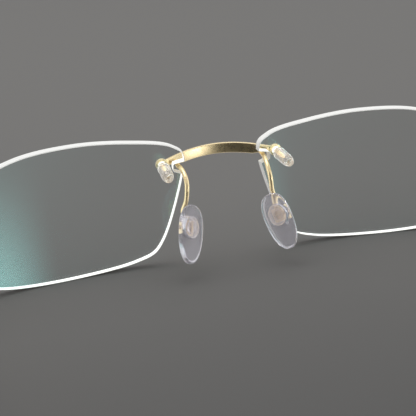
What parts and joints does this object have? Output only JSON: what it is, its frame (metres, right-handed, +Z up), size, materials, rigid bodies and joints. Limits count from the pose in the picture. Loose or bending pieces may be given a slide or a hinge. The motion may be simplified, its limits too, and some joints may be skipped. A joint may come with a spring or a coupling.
{
  "type": "rimless eyeglasses",
  "caption": "Rimless eyeglasses with drilled clear lenses, a gold arched bridge, adjustable nose pads on wire arms, and folding gold temples with dark ear tips.",
  "frame": {"origin": "under the middle of the bounding box, on the plane that the glasses stand on", "axes": "+Z up; the wearer looks along -Y and the wearer's left is +X; the temples run back along +Y"},
  "size_m": [0.137, 0.1528, 0.0313],
  "materials": {
    "lens": "clear, with frosted white edges and a faint green anti-reflection coating",
    "gold": "polished gold plating",
    "clear_plastic": "clear, glossy",
    "silicone": "clear silicone",
    "tip": "polished brown acetate"
  },
  "bodies": {
    "front": {"lens_left": "lens", "lens_right": "lens", "bridge": "gold", "pad_arm_left": "gold", "pad_arm_right": "gold", "pad_box_left": "gold", "pad_box_right": "gold", "pad_screw_left": "gold", "pad_screw_right": "gold", "nasal_bolt_left": "gold", "nasal_bolt_right": "gold", "nasal_bushing_left": "clear_plastic", "nasal_bushing_right": "clear_plastic", "nasal_washer_left": "clear_plastic", "nasal_washer_right": "clear_plastic", "nasal_cap_left": "clear_plastic", "nasal_cap_right": "clear_plastic", "temporal_bolt_left": "gold", "temporal_bolt_right": "gold", "temporal_bushing_left": "clear_plastic", "temporal_bushing_right": "clear_plastic", "temporal_washer_left": "clear_plastic", "temporal_washer_right": "clear_plastic", "temporal_cap_left": "clear_plastic", "temporal_cap_right": "clear_plastic", "endpiece_left": "gold", "endpiece_right": "gold", "hinge_front_left": "gold", "hinge_front_right": "gold", "hinge_screw_left": "gold", "hinge_screw_right": "gold"},
    "temple_left": {"hinge_rear_left": "gold", "temple_arm_left": "gold", "temple_tip_left": "tip"},
    "temple_right": {"hinge_rear_right": "gold", "temple_arm_right": "gold", "temple_tip_right": "tip"},
    "pad_left": {"pad_core_left": "clear_plastic", "nose_pad_left": "silicone"},
    "pad_right": {"pad_core_right": "clear_plastic", "nose_pad_right": "silicone"}
  },
  "joints": [
    {"name": "temple_left_fold", "type": "hinge", "parent": "front", "child": "temple_left", "pos_m": [0.0653, -0.05833, 0.02128], "axis": [0, 0, 1], "range_deg": [0, 90]},
    {"name": "temple_right_fold", "type": "hinge", "parent": "front", "child": "temple_right", "pos_m": [-0.0653, -0.05833, 0.02128], "axis": [0, 0, -1], "range_deg": [0, 83]},
    {"name": "pad_left_rock", "type": "hinge", "parent": "front", "child": "pad_left", "pos_m": [0.01097, -0.06375, 0.01068], "axis": [-0.824, -0.3901, -0.4109], "range_deg": [-5, 10]},
    {"name": "pad_right_rock", "type": "hinge", "parent": "front", "child": "pad_right", "pos_m": [-0.01097, -0.06375, 0.01068], "axis": [-0.824, 0.3901, 0.4109], "range_deg": [-5, 10]}
  ]
}
